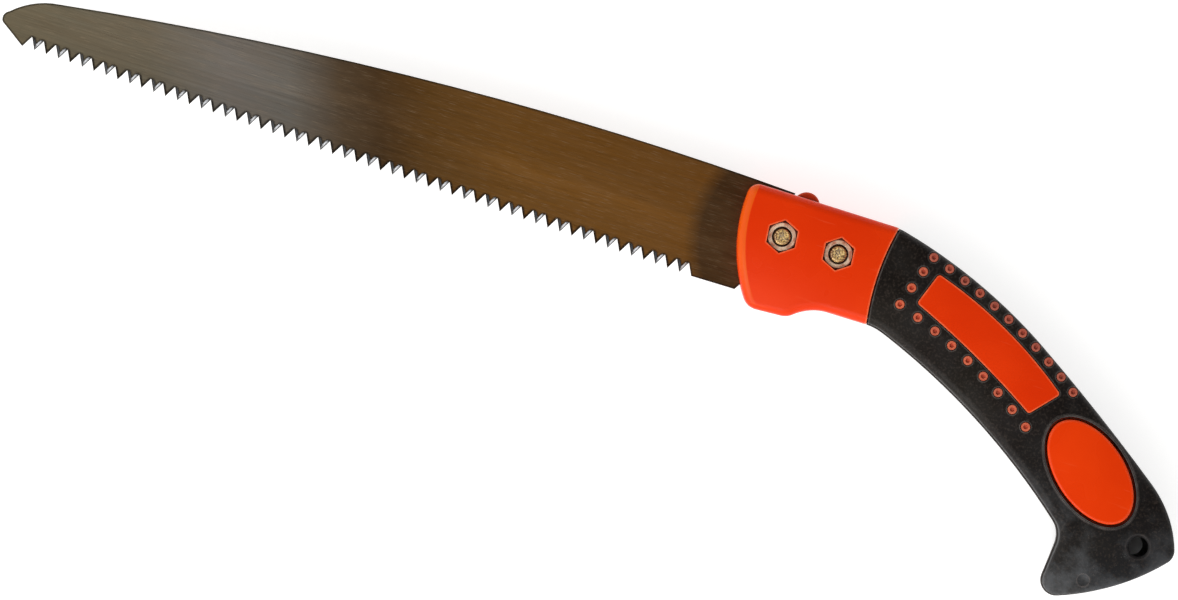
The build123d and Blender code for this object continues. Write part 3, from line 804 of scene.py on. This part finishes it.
def thread_ring(height):
    """Ring of points of the helical thread at a height above the head's face."""
    fade = min(1.0, max(0.0, height - THREAD_START))
    chamfer = max(0.0, height - (BOLT_TOTAL - TIP_CHAMFER))

    def reach(turn):
        phase = (height / THREAD_PITCH - turn / (2 * math.pi)) % 1.0
        valley = min(1.0, max(0.0, (abs(2 * phase - 1) - THREAD_CREST) / THREAD_FLANKS))
        return min(BOLT_RADIUS - chamfer, BOLT_RADIUS - fade * THREAD_DEPTH * valley)

    return round_ring(reach, height)


def ring_mesh(name, first, rings, last):
    """Closed mesh through a pole, rings of equal count and another pole."""
    verts = [first] + [point for ring in rings for point in ring] + [last]
    faces = []
    for step in range(SEGMENTS):
        after = (step + 1) % SEGMENTS
        faces.append((0, 1 + after, 1 + step))
        for number in range(len(rings) - 1):
            low = 1 + number * SEGMENTS
            high = low + SEGMENTS
            faces.append((low + step, low + after, high + after, high + step))
        top = 1 + (len(rings) - 1) * SEGMENTS
        faces.append((top + step, top + after, len(verts) - 1))
    mesh = bpy.data.meshes.new(name)
    mesh.from_pydata([Vector(vert) * MM for vert in verts], [], faces)
    return mesh


def add_piece(mesh, place, material, node):
    """Puts a finished mesh on the handle in place of a CAD node, under the mesh's own name."""
    piece = bpy.data.objects.new(mesh.name, mesh)
    bpy.context.scene.collection.objects.link(piece)
    piece.location = place
    mesh.materials.append(material)
    smooth_by_angle(mesh, MADE_CRISP)
    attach(piece, "handle")
    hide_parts(node)
    return piece


def make_bolt(node, material, seed):
    """Socket screw with a real thread and a rough cropped tip."""
    chance = random.Random(seed)
    rings = [round_ring(socket_reach, height) for height in (SOCKET_WALL_END, SOCKET_MOUTH)]
    rings += [round_ring(radius, height) for height, radius in HEAD_RINGS]
    count = round((BOLT_TOTAL - HEAD_HEIGHT) / THREAD_STEP)
    rings += [thread_ring(HEAD_HEIGHT + THREAD_STEP * k) for k in range(1, count)]
    for radius, rough in TIP_RINGS:
        flat = round_ring(radius, BOLT_TOTAL)
        rings.append([(x, y, z - chance.uniform(0.0, rough)) for x, y, z in flat])
    mesh = ring_mesh(node + "_threaded", (0, 0, SOCKET_FLOOR), rings, (0, 0, BOLT_TOTAL - TIP_DIP))
    low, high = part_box(node)
    place = ((low.x + high.x) / 2, (low.y + high.y) / 2, low.z)
    add_piece(mesh, place, material, node)


SPRING_RADIUS = 1.85
SPRING_WIRE = 0.22
SPRING_TURNS = 7.0
SPRING_STEPS = 28
SPRING_EVEN_SHARE = 0.5


def make_spring(material):
    """Coil spring with closer turns at both ends."""
    low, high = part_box("catch_spring")
    middle = (low + high) / 2
    length = high.y - low.y - 2 * SPRING_WIRE * MM
    data = bpy.data.curves.new("spring_path", "CURVE")
    data.dimensions = "3D"
    data.bevel_depth = SPRING_WIRE * MM
    data.bevel_resolution = 3
    data.use_fill_caps = True
    line = data.splines.new("POLY")
    count = round(SPRING_TURNS * SPRING_STEPS)
    line.points.add(count)
    for step, point in enumerate(line.points):
        share = step / count
        turn = 2 * math.pi * SPRING_TURNS * share
        eased = share * share * (3 - 2 * share)
        risen = SPRING_EVEN_SHARE * share + (1 - SPRING_EVEN_SHARE) * eased
        rise = length * risen - length / 2
        point.co = (SPRING_RADIUS * MM * math.cos(turn), rise, SPRING_RADIUS * MM * math.sin(turn), 1.0)
    curve = bpy.data.objects.new("spring_path", data)
    mesh = bpy.data.meshes.new_from_object(curve)
    mesh.name = "catch_coil"
    bpy.data.objects.remove(curve)
    piece = add_piece(mesh, middle, material, "catch_spring")
    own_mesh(piece)


# ---------------------------------------------------------------- make everything

make_camera()
make_world()
make_light()
make_floor(floor_material())

for core in ("core_left", "core_right"):
    write_marks(core)

core_look = core_material()
skin_look = skin_material()
badge_look = badge_material()
gold = plated_steel(
    "yellow_zinc_plate",
    dark=(0.10, 0.036, 0.004),
    light=(0.82, 0.55, 0.20),
    metallic=0.45,
    roughness=0.30,
    lumps=1700.0,
    lump_depth=0.14 * MM,
    edge_rub_and_highlight=0.22,
)
silver = plated_steel(
    "bright_zinc_plate",
    dark=(0.64, 0.27, 0.16),
    light=(1.0, 0.76, 0.54),
    metallic=0.40,
    roughness=0.22,
    lumps=320.0,
    lump_depth=0.04 * MM,
    edge_rub_and_highlight=0.95,
)
black_screw = plated_steel(
    "black_oxide",
    dark=(0.03, 0.03, 0.03),
    light=(0.08, 0.08, 0.08),
    metallic=1.0,
    roughness=0.4,
    lumps=900.0,
    lump_depth=0.02 * MM,
    edge_rub_and_highlight=0.3,
)

LOOKS = {
    "blade": blade_material(),
    "core_left": core_look,
    "core_right": core_look,
    "grip_left": skin_look,
    "grip_right": skin_look,
    "badge_left": badge_look,
    "badge_right": badge_look,
    "front_bolt": gold,
    "rear_bolt": gold,
    "front_nut": silver,
    "rear_nut": silver,
    "front_washer": silver,
    "rear_washer": silver,
    "grip_screws": black_screw,
    "scabbard_catch": catch_material(),
    "catch_spring": spring_material(),
}
for node, look in LOOKS.items():
    dress(node, look)

make_bolt("front_bolt", gold, 3)
make_bolt("rear_bolt", gold, 5)
make_spring(LOOKS["catch_spring"])
